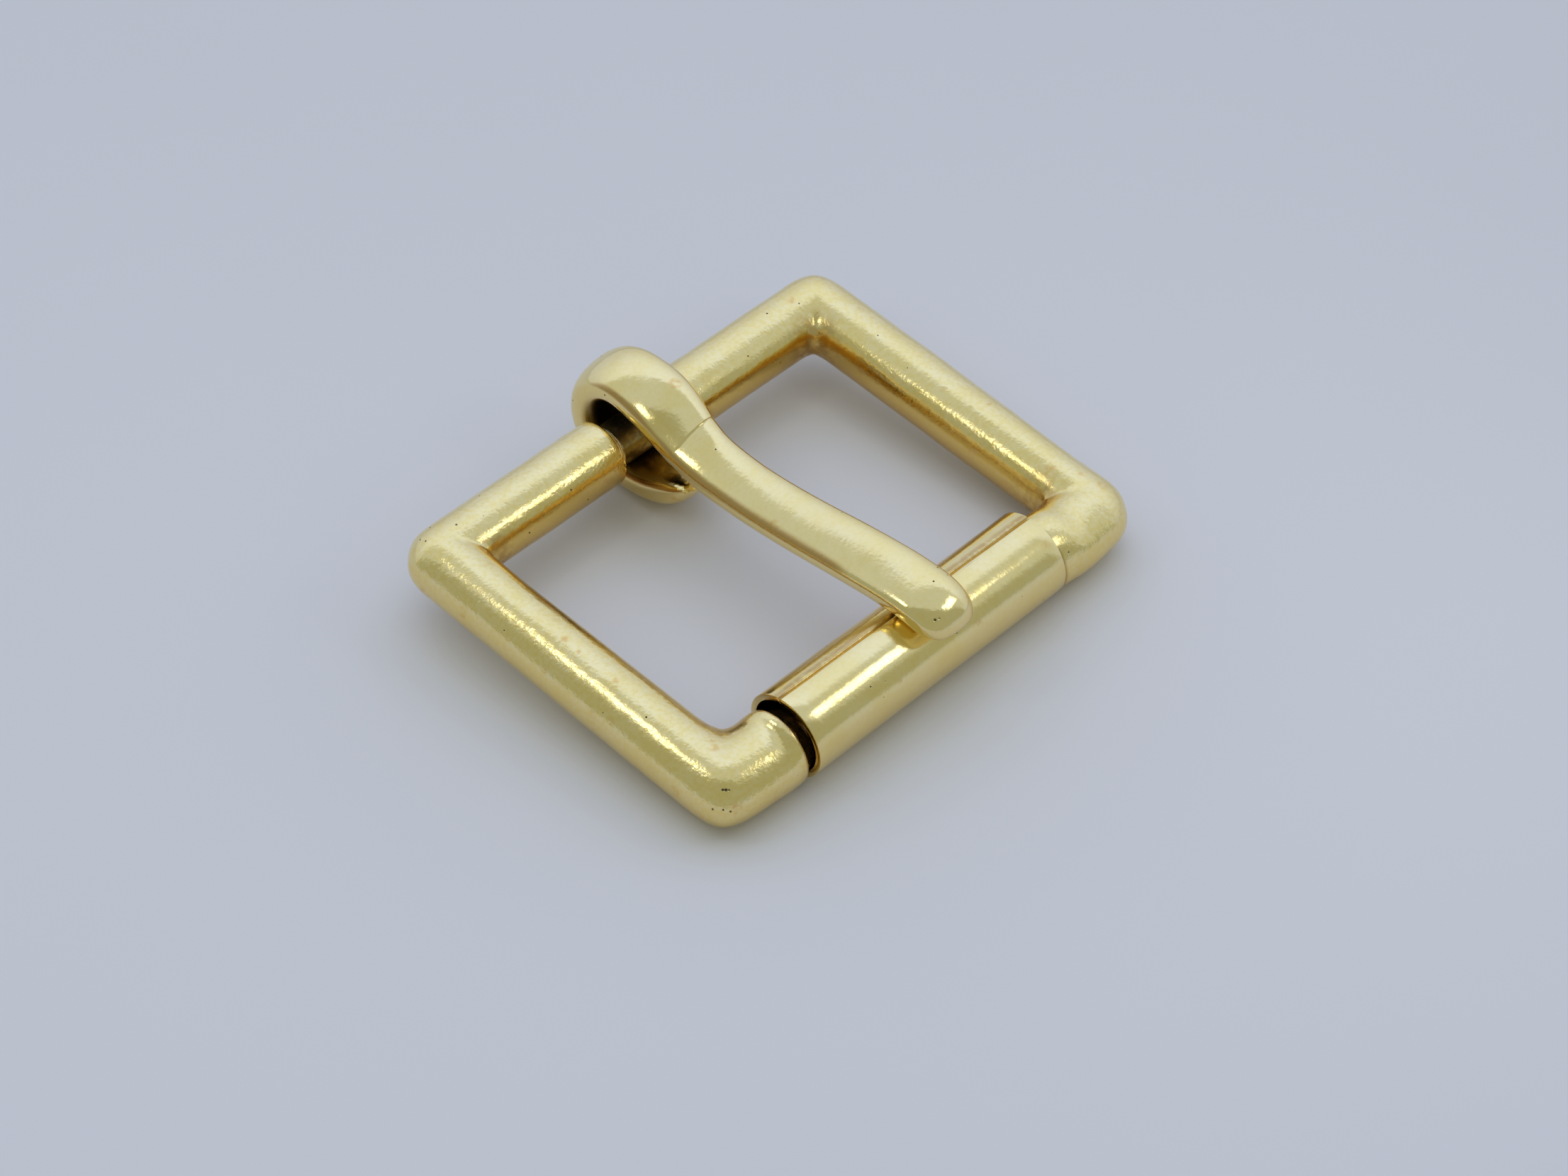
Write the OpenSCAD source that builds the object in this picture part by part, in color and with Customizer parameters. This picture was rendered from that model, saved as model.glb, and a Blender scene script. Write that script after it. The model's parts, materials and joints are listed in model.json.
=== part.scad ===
/* [Frame] */
// Clear width of the frame, which is the width of the strap
strap_w = 32; // [26:0.5:50]
// Clear length of the frame from the hinge bar to the roller bar
clear_l = 22.8; // [20:0.1:32]
// Diameter of the frame's round bar
bar_d = 5.1; // [4.6:0.1:6]
// Radius of the fillet in the frame's inner corners
inner_corner_r = 0.9; // [0.5:0.1:3]
// Diameter of the thin neck that the tongue turns on
neck_d = 3.4; // [3:0.1:3.8]
// Shift of the neck's middle along the hinge bar
neck_shift = 0.5; // [-2:0.1:2]
// Gap between each side of the tongue and the shoulder beside it
neck_play = 1; // [0.2:0.05:1.2]
// Diameter of the thin bar inside the roller
core_d = 3.8; // [3:0.1:4]
// Length of the thin bar between its shoulders
core_len = 25.2; // [18:0.1:26]
// Shift of the thin bar's middle along the roller bar
core_shift = -0.55; // [-1.5:0.05:1.5]
// Diameter of the shoulders beside the roller
shoulder_d = 5.7; // [5.2:0.1:5.7]
// Radius of the rounded rims of the shoulders
rim_r = 0.35; // [0.2:0.05:0.5]

/* [Roller] */
// Outer diameter of the roller
roller_d = 6.6; // [6.6:0.1:8]
// Thickness of the rolled sheet
sheet_t = 0.45; // [0.3:0.05:0.5]
// Play of the roller along its bar
roller_play = 0.7; // [0.3:0.05:1.5]
// Share of the play that is open at the left end
roller_push_share = 0.75; // [0.2:0.05:0.8]
// Width of the open seam
seam_w = 0.25; // [0.1:0.05:0.6]
// Angle of the seam behind the roller's top
seam_angle = 13; // [0:1:45]

/* [Tongue] */
// Width of the tongue at its loop
loop_w = 4.9; // [4.2:0.1:6]
// Width of the shank
shank_w = 4.2; // [3:0.1:4.6]
// Width of the tip
tip_w = 4.8; // [3:0.1:6]
// Thickness of the tongue
tongue_t = 2.8; // [2.2:0.1:3.2]
// Diameter of the eye that the loop leaves round the neck
eye_d = 4.8; // [4.2:0.1:5.6]
// Distance of the eye's middle behind the neck's middle
eye_back = 0.2; // [0:0.05:0.4]
// Sideways shift of the shank from the loop
shank_skew = -0.7; // [-1.2:0.1:1.2]
// Clearance between the neck and the eye that carries it
eye_gap = 0.05; // [0.03:0.01:0.2]
// Clearance between the tip and the roller that it lies on
tip_gap = 0.06; // [0.03:0.01:0.2]

/* [Hidden] */
$fn = 64;

bar_r = bar_d / 2;
neck_r = neck_d / 2;
core_r = core_d / 2;
shoulder_r = shoulder_d / 2;
roller_r = roller_d / 2;
half_w = strap_w / 2 + bar_r;
half_l = clear_l / 2 + bar_r;
neck_len = loop_w + 2 * neck_play;

// The roller lies on the same surface as the frame's corners
roller_z = roller_r - bar_r;
roller_len = core_len - roller_play;
roller_x = core_shift + roller_play * (roller_push_share - 0.5);
// The shoulders are thicker than the bar on its upper side only
shoulder_z = shoulder_r - bar_r;

// The neck lies on the bottom of the tongue's eye
eye_r = eye_d / 2;
eye_y = half_l + eye_back;
eye_z = sqrt(pow(eye_r - neck_r - eye_gap, 2) - pow(eye_back, 2));
curl_r = eye_r + tongue_t / 2;
curl_outer_r = eye_r + tongue_t;

// The buckle stands on the roller's side and on the tongue's curl
rest_tilt = asin((curl_outer_r - bar_r) / norm([half_l + eye_y, eye_z]))
    - atan(eye_z / (half_l + eye_y));
rest_lift = half_l * sin(rest_tilt) + bar_r;
rear_reach = eye_y * cos(rest_tilt) - eye_z * sin(rest_tilt) + curl_outer_r;
front_reach = half_l * cos(rest_tilt) + roller_z * sin(rest_tilt) + roller_r;

// Straight steps along each rounded rim of a shoulder
rim_steps = 6;

// The cross-section of the tongue is a rounded rectangle of this power
section_power = 2.6;
section_sides = 32;

// The tongue's middle line follows the eye over these angles, in smooth steps from place to place
eye_angles = [255:15:450];
steps = 4;

module at_rest() {
    translate([0, (front_reach - rear_reach) / 2, rest_lift])
        rotate([rest_tilt, 0, 0])
            children();
}

// Solid turned round the X axis from a profile of [x, radius] points
module turned(profile) {
    rotate([90, 0, 90])
        rotate_extrude()
            polygon([for (p = profile) [p[1], p[0]]]);
}

// Points of a quarter arc in a turned profile
function arc_points(centre, r, from, to) =
    [for (i = [0:rim_steps])
        let(a = from + (to - from) * i / rim_steps)
        centre + r * [cos(a), sin(a)]];

// Bar along X, with a thinner stretch between two rounded shoulders
module necked_bar(length, big_r, small_r, gap_len, gap_x) {
    left = gap_x - gap_len / 2;
    right = gap_x + gap_len / 2;
    turned(concat(
        [[-length / 2, 0], [-length / 2, big_r]],
        arc_points([left - rim_r, big_r - rim_r], rim_r, 90, 0),
        [[left, small_r], [right, small_r]],
        arc_points([right + rim_r, big_r - rim_r], rim_r, 180, 90),
        [[length / 2, big_r], [length / 2, 0]]
    ));
}

// Short collar that makes a shoulder of the roller bar thicker
module collar(from_x, to_x) {
    face = to_x - sign(to_x - from_x) * rim_r;
    turn = to_x > from_x ? 0 : 180;
    translate([0, 0, shoulder_z])
        turned(concat(
            [[from_x, 0], [from_x, bar_r - shoulder_z]],
            arc_points([face, shoulder_r - rim_r], rim_r, 90, turn),
            [[to_x, 0]]
        ));
}

// Rounded outside of a corner and the fillet in its inside
module corner() {
    bend_r = inner_corner_r + bar_r;
    translate([half_w, half_l, 0])
        sphere(r = bar_r);
    translate([half_w - bend_r, half_l - bend_r, 0])
        rotate_extrude(angle = 90)
            translate([bend_r, 0])
                circle(r = bar_r);
}

module frame() {
    core_left = core_shift - core_len / 2;
    core_right = core_shift + core_len / 2;
    color([0.78, 0.71, 0.47])
        at_rest() {
            for (side = [-1, 1])
                translate([side * half_w, 0, 0])
                    rotate([90, 0, 0])
                        cylinder(r = bar_r, h = 2 * half_l, center = true);
            translate([0, half_l, 0])
                necked_bar(2 * half_w, bar_r, neck_r, neck_len, neck_shift);
            translate([0, -half_l, 0]) {
                necked_bar(2 * half_w, bar_r, core_r, core_len, core_shift);
                collar(-half_w, core_left);
                collar(half_w, core_right);
            }
            for (side = [0, 1], end = [0, 1])
                mirror([side, 0, 0])
                    mirror([0, end, 0])
                        corner();
        }
}

module roller() {
    color([0.82, 0.75, 0.48])
        at_rest()
            translate([roller_x, -half_l, roller_z])
                difference() {
                    rotate([0, 90, 0])
                        cylinder(r = roller_r, h = roller_len, center = true);
                    rotate([0, 90, 0])
                        cylinder(r = roller_r - sheet_t, h = roller_len + 1, center = true);
                    rotate([-seam_angle, 0, 0])
                        translate([-roller_len, -seam_w / 2, 0])
                            cube([2 * roller_len, seam_w, roller_d]);
                }
}

// A station of the tongue is [x, y, z, width, thickness], seen along its middle line
function station(x_share, yz, w, t) = [neck_shift + shank_skew * x_share, yz[0], yz[1], w, t];

function round_eye(angle, share) = [eye_y, eye_z] + curl_r * share * [cos(angle), sin(angle)];

function over_roller(angle, t) =
    [-half_l, roller_z] + (roller_r + tip_gap + t / 2) * [cos(angle), sin(angle)];

// Free end of the curl: angle round the eye, distance, width and thickness as shares
curl_end_shares = [
    // angle, distance, width, thickness
    [183, 1.92, 0.78, 0.16],
    [193, 1.74, 0.88, 0.38],
    [207, 1.49, 0.95, 0.62],
    [224, 1.25, 0.99, 0.84],
    [240, 1.10, 1.00, 0.94]
];

// Shank: way from the neck to the roller, height, sideways shift, width and thickness as shares
shank_shares = [
    // way, height, shift, width, thickness
    [0.080, 0.785, 0.10, 1.24, 1.02],
    [0.180, 0.655, 0.50, 1.12, 1.02],
    [0.290, 0.540, 1.00, 1.02, 1.00],
    [0.430, 0.575, 1.10, 0.99, 1.00],
    [0.640, 0.745, 1.10, 1.02, 1.00],
    [0.840, 0.945, 0.85, 1.07, 1.00]
];

// Tip: angle round the roller, sideways shift, width and thickness as shares
tip_shares = [
    // angle, shift, width, thickness
    [82, 0.62, 0.98, 1.02],
    [100, 0.58, 1.02, 1.02],
    [114, 0.50, 1.02, 0.96],
    [124, 0.36, 0.96, 0.78],
    [130, 0.24, 0.80, 0.48]
];

tip_z = roller_z + roller_r + tip_gap + tongue_t / 2;
stations = concat(
    [for (c = curl_end_shares) station(0, round_eye(c[0], c[1]), loop_w * c[2], tongue_t * c[3])],
    [for (a = eye_angles) station(0, round_eye(a, 1), loop_w, tongue_t)],
    [for (s = shank_shares)
        station(s[2], [half_l * (1 - 2 * s[0]), tip_z * s[1]], shank_w * s[3], tongue_t * s[4])],
    [for (e = tip_shares) station(e[1], over_roller(e[0], tongue_t * e[3]), tip_w * e[2], tongue_t * e[3])]
);

// Point between stations b and c of a smooth curve through a, b, c and d
function between(a, b, c, d, s) =
    (2 * b + (c - a) * s + (2 * a - 5 * b + 4 * c - d) * s * s + (3 * b - a - 3 * c + d) * s * s * s) / 2;

last = len(stations) - 1;
path = concat(
    [for (i = [0:last - 1], k = [0:steps - 1])
        between(
            stations[max(i - 1, 0)], stations[i], stations[i + 1], stations[min(i + 2, last)],
            k / steps
        )],
    [stations[last]]
);

function signed_power(v, p) = sign(v) * pow(abs(v), p);

// Ring of points round one place of the path
function ring(i) =
    let(
        before = path[max(i - 1, 0)],
        after = path[min(i + 1, len(path) - 1)],
        run = [after[1] - before[1], after[2] - before[2]],
        across = [-run[1], run[0]] / norm(run),
        here = path[i]
    )
    [for (k = [0:section_sides - 1])
        let(
            a = 360 * k / section_sides,
            side = here[3] / 2 * signed_power(cos(a), 2 / section_power),
            rise = here[4] / 2 * signed_power(sin(a), 2 / section_power)
        )
        [here[0] + side, here[1] + across[0] * rise, here[2] + across[1] * rise]];

module tongue() {
    n = section_sides;
    rings = len(path);
    points = [for (i = [0:rings - 1]) each ring(i)];
    walls = [for (i = [0:rings - 2], k = [0:n - 1]) each [
        [i * n + k, i * n + (k + 1) % n, (i + 1) * n + k],
        [(i + 1) * n + k, i * n + (k + 1) % n, (i + 1) * n + (k + 1) % n]
    ]];
    first_cap = [for (k = [n - 1:-1:0]) k];
    last_cap = [for (k = [0:n - 1]) (rings - 1) * n + k];
    color([0.84, 0.78, 0.50])
        at_rest()
            polyhedron(points, concat([first_cap, last_cap], walls), 8);
}

frame();
tongue();
roller();
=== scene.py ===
"""Brass roller buckle: the cast frame, its prong and its rolled tube, on a pale floor under soft light."""

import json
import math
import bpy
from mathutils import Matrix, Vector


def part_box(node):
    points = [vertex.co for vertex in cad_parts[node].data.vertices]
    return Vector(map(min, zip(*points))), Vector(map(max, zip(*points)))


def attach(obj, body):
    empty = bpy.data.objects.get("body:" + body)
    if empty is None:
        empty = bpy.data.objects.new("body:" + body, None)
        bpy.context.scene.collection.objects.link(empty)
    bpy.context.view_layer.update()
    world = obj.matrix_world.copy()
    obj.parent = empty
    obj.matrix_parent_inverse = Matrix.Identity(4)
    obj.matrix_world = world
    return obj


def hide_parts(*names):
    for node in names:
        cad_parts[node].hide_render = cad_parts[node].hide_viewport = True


bl_info = {
    "name": "Roller Buckle",
    "version": (1, 0, 0),
    "blender": (4, 5, 0),
    "location": "View3D > Sidebar > Buckle",
    "description": "Models a brass roller buckle round its packed frame and sets it on a pale studio floor",
    "category": "Add Mesh",
}

import bmesh
import bpy
from bpy.props import FloatProperty, FloatVectorProperty, PointerProperty
from bpy.types import Operator, Panel, PropertyGroup
from mathutils import Matrix, Vector

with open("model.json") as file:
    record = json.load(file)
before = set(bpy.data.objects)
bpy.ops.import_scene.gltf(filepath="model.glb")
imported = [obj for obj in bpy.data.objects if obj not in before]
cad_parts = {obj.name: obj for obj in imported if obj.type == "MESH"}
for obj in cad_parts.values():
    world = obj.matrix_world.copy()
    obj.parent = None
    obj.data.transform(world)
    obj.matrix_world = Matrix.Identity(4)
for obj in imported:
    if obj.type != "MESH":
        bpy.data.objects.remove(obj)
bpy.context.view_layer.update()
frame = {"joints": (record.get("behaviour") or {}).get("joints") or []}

MM = 0.001
JOINTS = {joint["name"]: joint for joint in frame["joints"]}
HINGE_AXIS = Vector(JOINTS["tongue_hinge"]["pos_m"])
ROLLER_AXIS = Vector(JOINTS["roller_spin"]["pos_m"])
CAD_LOW, CAD_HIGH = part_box("frame")

# A round ring of this many points makes a subdivided surface that lies inside it at this share
RING_POINTS = 16
RING_SHRINK = (2 + math.cos(2 * math.pi / RING_POINTS)) / 3

# How far the prong's ring is pushed out at each point of a quarter, which makes its corners square
SQUARE_PUSH = (1.00, 1.06, 1.12, 1.06)
SQUARE_SHRINK = (2 + SQUARE_PUSH[1] * math.cos(2 * math.pi / RING_POINTS)) / 3

# Where the strap has worn the prong: its top slopes down from the middle to the left. Sixteenths of a
# turn from the right side over the top, and the share that is left there
WORN = {2: 1.05, 3: 1.03, 4: 0.93, 5: 0.82, 6: 0.80, 7: 0.94}


def length(name, description, millimetres):
    return FloatProperty(
        name=name, description=description, default=millimetres * MM, subtype="DISTANCE", unit="LENGTH"
    )


def number(name, description, value):
    return FloatProperty(name=name, description=description, default=value)


def angle(name, description, degrees):
    return FloatProperty(
        name=name, description=description, default=math.radians(degrees), subtype="ANGLE", unit="ROTATION"
    )


def colour(name, description, value):
    return FloatVectorProperty(
        name=name, description=description, default=value, size=3, min=0, max=1, subtype="COLOR"
    )


class CastingSizes(PropertyGroup):
    bar_d: length("Bar diameter", "Diameter of the frame's round bar", 5.1)
    neck_d: length("Neck diameter", "Diameter of the thin neck that the prong turns on", 3.4)
    neck_left: length("Neck's left end", "Place of the left shoulder beside the prong", -2.95)
    neck_right: length("Neck's right end", "Place of the right shoulder beside the prong", 3.95)
    core_d: length("Core diameter", "Diameter of the thin bar inside the tube", 3.8)
    core_left: length("Core's left end", "Place of the left shoulder beside the tube", -13.15)
    core_right: length("Core's right end", "Place of the right shoulder beside the tube", 12.05)
    waviness: length("Waviness", "Height of the slow waves left by hand polishing", 0.06)
    ripple: length("Ripple", "Height of the finer ripples on top of the waves", 0.016)


class ProngSizes(PropertyGroup):
    loop_w: length("Loop width", "Width of the prong at its loop", 4.9)
    shank_w: length("Shank width", "Width of the shank", 4.2)
    tip_w: length("Tip width", "Width of the tip", 4.8)
    thickness: length("Thickness", "Thickness of the prong", 2.8)
    eye_d: length("Eye diameter", "Diameter of the eye round the neck", 4.8)
    eye_back: length("Eye offset", "Distance of the eye's middle behind the neck's middle", 0.2)
    eye_rise: length("Eye rise", "Height of the eye's middle over the neck's middle", 0.618)
    skew: length("Skew", "Sideways shift of the shank from the loop", -0.7)
    tip_gap: length("Tip gap", "Clearance between the tip and the tube", 0.10)
    flat: length("Flattened top", "Extra height of the loop's flattened top, which ends in a ledge", 0.17)
    waviness: length("Waviness", "Height of the slow waves left by hand polishing", 0.04)
    ripple: length("Ripple", "Height of the finer ripples on top of the waves", 0.006)


class TubeSizes(PropertyGroup):
    outer_d: length("Outer diameter", "Outer diameter of the rolled tube", 6.6)
    sheet: length("Sheet thickness", "Thickness of the rolled sheet", 0.45)
    left: length("Left end", "Place of the tube's left end", -12.625)
    right: length("Right end", "Place of the tube's right end", 11.875)
    seam: length("Seam width", "Width of the open seam", 0.07)
    seam_edge: length("Seam rounding", "Rounding of the outer edges along the seam", 0.24)
    seam_turn: angle("Seam turn", "Angle of the seam's middle behind the tube's top", 13.5)
    seam_skew: angle("Seam skew", "Angle by which the seam's left end lies further behind the top", 4)
    rim: length("Rim rounding", "Rounding of the sheet's cut edges", 0.12)
    waviness: length("Waviness", "Height of the soft dents", 0.03)
    ripple: length("Ripple", "Height of the finer ripples on top of the dents", 0.003)


class BrassColours(PropertyGroup):
    light: colour("Light brass", "Colour of the cleanest polished brass", (0.93, 0.79, 0.40))
    deep: colour("Deep brass", "Colour of the warmer brass between", (0.90, 0.73, 0.29))
    tarnish: colour("Tarnish", "Colour of the orange specks", (0.80, 0.52, 0.17))
    # The amber colour is painted reflection and shade on the lower inner sides and undersides
    amber: colour("Amber film", "Colour of the thin film where little is polished", (0.80, 0.52, 0.11))
    # The brown colour is painted shade in corners, gaps and recesses, and painted reflection beside the seam
    # and along the prong
    brown_shade: colour("Brown tarnish", "Colour of the brown tarnish where no cloth polishes", (0.48, 0.27, 0.08))
    # The dark colour is painted shade and shadow on the neck, in the prong's eye, on the core and along the
    # seam
    dark_shade: colour("Dark film", "Colour of the dark film where nothing is polished", (0.075, 0.045, 0.015))
    pit: colour("Pits", "Colour of the dirt in pits and scratches", (0.10, 0.07, 0.03))


class StudioSettings(PropertyGroup):
    floor: colour("Floor", "Colour of the pale floor", (0.755, 0.755, 0.80))
    wall_top: colour("Wall top", "Light from the upper part of the far wall", (0.66, 0.75, 1.0))
    wall_foot: colour("Wall foot", "Light from the lower part of the far wall", (0.46, 0.50, 0.62))
    ceiling: colour("Ceiling", "Light from the strip of ceiling overhead", (0.44, 0.48, 0.51))
    room: colour("Room", "Light from the darker room on the camera's side", (0.29, 0.305, 0.25))
    strength: number("Strength", "Brightness of all the soft light", 1.29)
    lamp: colour("Lamp", "Colour of the soft boxes", (1.0, 0.98, 0.94))
    lens: number("Lens", "Focal length in millimetres on a frame 36 mm wide", 100.9)


def settings():
    return bpy.context.scene


def start_mesh():
    """Leaves edit mode and selects nothing, so that the next operator acts on its own object alone."""
    if bpy.context.object and bpy.context.object.mode != "OBJECT":
        bpy.ops.object.mode_set(mode="OBJECT")
    bpy.ops.object.select_all(action="DESELECT")


def edited_mesh():
    mesh = bmesh.from_edit_mesh(bpy.context.object.data)
    mesh.verts.ensure_lookup_table()
    return mesh


def selected_points():
    """Numbers of the selected points of the edited mesh."""
    return [vertex.index for vertex in edited_mesh().verts if vertex.select]


def select_points(numbers):
    """Selects these points of the edited mesh and no others."""
    mesh = edited_mesh()
    for vertex in mesh.verts:
        vertex.select_set(False)
    for number_of_point in numbers:
        mesh.verts[number_of_point].select_set(True)
    mesh.select_flush(True)
    bmesh.update_edit_mesh(bpy.context.object.data)


class Section:
    """One cross-section of a bar: its middle, its way of travel and its reach to each of four sides."""

    def __init__(self, centre, heading, inner, outer, up, down, wear=0, roll=0):
        self.centre = Vector(centre)
        self.heading = heading
        self.wear = wear
        self.roll = roll
        self.inner = inner
        self.outer = outer
        self.up = up
        self.down = down


class DrawnBar:
    """A bar drawn in edit mode from section to section, which bends in the plane of two axes."""

    def __init__(self, name, first, across, along, axis, pushes=()):
        self.across = Vector(across)
        self.along = Vector(along)
        self.axis = axis
        self.turn_axis = self.across.cross(self.along)
        self.now = first
        start_mesh()
        bpy.ops.mesh.primitive_circle_add(vertices=RING_POINTS, radius=first.inner, fill_type="NOTHING")
        bar = bpy.context.object
        bar.name = name
        inward = self.inward(first.heading)
        ahead = self.turn_axis.cross(inward)
        bar.matrix_world = Matrix.Translation(first.centre) @ Matrix(
            (inward, self.turn_axis, ahead)
        ).transposed().to_4x4()
        bpy.ops.object.transform_apply(location=True, rotation=True, scale=True)
        bpy.ops.object.mode_set(mode="EDIT")
        for point, push in enumerate(pushes):
            select_points([point])
            bpy.ops.transform.resize(value=(push, push, push), center_override=self.now.centre)
        bpy.ops.mesh.select_all(action="SELECT")
        self.stretch(-inward, first.outer / first.inner)
        self.stretch(self.turn_axis, first.up / first.inner)
        self.stretch(-self.turn_axis, first.down / first.inner)

    def inward(self, heading):
        return self.along * math.cos(heading) - self.across * math.sin(heading)

    def stretch(self, direction, factor):
        """Stretches the half of the ring that lies towards a direction from the section's middle."""
        if abs(factor - 1) < 1e-6:
            return
        ring = selected_points()
        points = edited_mesh().verts
        select_points([i for i in ring if (points[i].co - self.now.centre).dot(direction) > 1e-7])
        upright = abs(direction.dot(self.turn_axis)) > 0.5
        factors = [factor if (abs(part) > 0.5) == upright else 1 for part in self.turn_axis]
        bpy.ops.transform.resize(value=factors, orient_type="GLOBAL", center_override=self.now.centre)
        select_points(ring)

    def draw_to(self, section):
        """Extrudes the end ring to the next section, turns it and gives it that section's reaches."""
        before = self.now
        self.now = section
        bpy.ops.mesh.extrude_edges_move(
            TRANSFORM_OT_translate={"value": section.centre - before.centre, "orient_type": "GLOBAL"}
        )
        if section.heading != before.heading:
            bpy.ops.transform.rotate(
                value=before.heading - section.heading,
                orient_axis=self.axis,
                orient_type="GLOBAL",
                center_override=section.centre,
            )
        inward = self.inward(section.heading)
        self.stretch(inward, section.inner / before.inner)
        self.stretch(-inward, section.outer / before.outer)
        self.stretch(self.turn_axis, section.up / before.up)
        self.stretch(-self.turn_axis, section.down / before.down)

    def wear_down(self, number_of_ring, section):
        """Wears a ring on its upper left, then rolls it to the left by its section's degrees."""
        ring = range(number_of_ring * RING_POINTS, (number_of_ring + 1) * RING_POINTS)
        outward = -self.inward(section.heading)
        for point in ring:
            offset = edited_mesh().verts[point].co - section.centre
            turn = math.atan2(offset.dot(outward) / section.outer, offset.dot(self.turn_axis) / section.up)
            share = WORN.get(round(turn / (2 * math.pi) * RING_POINTS), 1)
            push = 1 + (share - 1) * section.wear
            if push != 1:
                select_points([point])
                bpy.ops.transform.resize(value=(push, push, push), center_override=section.centre)
        select_points(ring)
        bpy.ops.transform.rotate(
            value=math.radians(section.roll),
            orient_axis="Y",
            orient_type="GLOBAL",
            center_override=section.centre,
        )

    def complete(self, close_ends, sizes):
        """Closes the open ends by an operator, rounds the bar, makes it uneven and lays it down."""
        bpy.ops.mesh.select_all(action="DESELECT")
        bpy.ops.mesh.select_non_manifold(extend=False)
        close_ends()
        bpy.ops.mesh.select_all(action="SELECT")
        bpy.ops.mesh.normals_make_consistent(inside=False)
        bpy.ops.object.mode_set(mode="OBJECT")
        piece = bpy.context.object
        apply_modifier(piece, "SUBSURF", "rounding", levels=3, render_levels=3)
        soften(piece, sizes)
        bpy.ops.object.shade_smooth()
        lay_down()
        return piece


def apply_modifier(piece, kind, name, **values):
    """Adds a modifier, sets its values and applies it at once."""
    modifier = piece.modifiers.new(name, kind)
    for key, value in values.items():
        setattr(modifier, key, value)
    bpy.ops.object.modifier_apply(modifier=modifier.name)


WAVE_SIZE = 3.2 * MM
RIPPLE_SIZE = 0.9 * MM


def soften(piece, sizes):
    """Slow waves and finer ripples in the surface, such as casting and a polishing wheel leave."""
    for name, size, height in (("waves", WAVE_SIZE, sizes.waviness), ("ripples", RIPPLE_SIZE, sizes.ripple)):
        clouds = bpy.data.textures.new(name, "CLOUDS")
        clouds.noise_scale = size
        clouds.noise_depth = 1
        apply_modifier(
            piece, "DISPLACE", name, texture=clouds, texture_coords="LOCAL", strength=height, mid_level=0.5
        )


def tube_rise():
    """Height of the tube's middle line over the bars' middles, so that their undersides are level."""
    return settings().tube_sizes.outer_d / 2 - settings().casting_sizes.bar_d / 2


def resting():
    """Turn and shift from the bars' own level plane to the way the buckle rests on the floor."""
    reach = HINGE_AXIS - ROLLER_AXIS
    half_l = level_half_length()
    tilt = math.atan2(reach.z, reach.y) + math.atan2(tube_rise(), 2 * half_l)
    turn = Matrix.Rotation(tilt, 4, "X")
    place = Vector((0, HINGE_AXIS.y, HINGE_AXIS.z)) - turn @ Vector((0, half_l, 0))
    return Matrix.Translation(place) @ turn


def lay_down():
    """Lays the active piece, modelled level round the bars' plane, as the buckle rests on the floor."""
    bpy.context.object.matrix_world = resting()
    bpy.ops.object.transform_apply(location=True, rotation=True, scale=True)


def level_half_length():
    """Half the distance between the hinge bar's middle and the roller bar's middle."""
    reach = HINGE_AXIS - ROLLER_AXIS
    return math.sqrt(reach.y**2 + reach.z**2 - tube_rise() ** 2) / 2


def finish_piece(piece, body, node, material):
    piece.data.materials.clear()
    piece.data.materials.append(material)
    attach(piece, body)
    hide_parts(node)


# Way round the fillet's middle of the sections in a corner, in degrees
CORNER_TURNS = (0, 18, 33, 45, 57, 72, 90)

# Corners of the frame in the order of travel: how far the cage's outermost point is cut back from the
# sharp outer corner, the fillet inside, and what the bars before and after it gain inside and outside,
# in millimetres
CORNERS = (
    # name, side, end, outer_cut, fillet, gain_before, gain_after, outer_before, outer_after
    ("near left", -1, -1, 0.76, 1.8, 0.20, 0.62, 0.04, 0.45),
    ("near right", 1, -1, 1.30, 0.8, 0.02, 0.00, 0.62, -0.22),
    ("far right", 1, 1, 0.90, 0.8, 0.00, 0.00, 0.00, 0.00),
    ("far left", -1, 1, 1.22, 0.35, 0.00, 0.00, 0.00, 0.00),
)

# Side bars: place along the bar, and what they gain inside and outside, in millimetres
RIGHT_BAR = (
    # y, inner_gain, outer_gain
    (-7.0, 0.00, -0.20),
    (-2.5, 0.00, -0.08),
    (2.5, 0.00, 0.00),
    (7.0, 0.00, 0.00),
)
LEFT_BAR_FAR = (
    # y, inner_gain, outer_gain
    (7.0, 0.00, 0.00),
    (2.5, 0.06, 0.00),
)
LEFT_BAR_NEAR = (
    # y, inner_gain, outer_gain
    (-2.5, 0.14, 0.00),
    (-7.0, 0.20, 0.04),
)

# Shoulders of the roller bar: distance from their face, then the reaches in millimetres
LEFT_SHOULDER = (
    # back, inner, outer, up, down
    (0.70, 3.12, 2.96, 2.94, 2.62),
    (0.35, 3.06, 2.92, 3.06, 2.63),
    (0.08, 2.98, 2.88, 3.06, 2.60),
    (0.00, 2.76, 2.68, 2.86, 2.40),
    (-0.04, 2.45, 2.50, 2.50, 1.98),
    (-1.10, 2.40, 2.44, 2.40, 1.95),
    (-1.20, 2.10, 2.10, 2.10, 1.92),
)
RIGHT_SHOULDER = (
    # back, inner, outer, up, down
    (2.10, 2.60, 3.10, 2.84, 2.55),
    (1.30, 2.66, 3.02, 2.90, 2.55),
    (0.70, 2.70, 2.95, 2.86, 2.55),
    (0.30, 2.72, 2.90, 2.80, 2.55),
    (0.08, 2.70, 2.86, 2.74, 2.53),
    (0.00, 2.55, 2.72, 2.60, 2.35),
    (-0.02, 2.10, 2.10, 2.10, 2.10),
)

# Places of the core's sections, from the faces of the two shoulders
CORE_INSET_LEFT = 1.44 * MM
CORE_INSETS_RIGHT = (0.72 * MM, 0.12 * MM)

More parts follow.
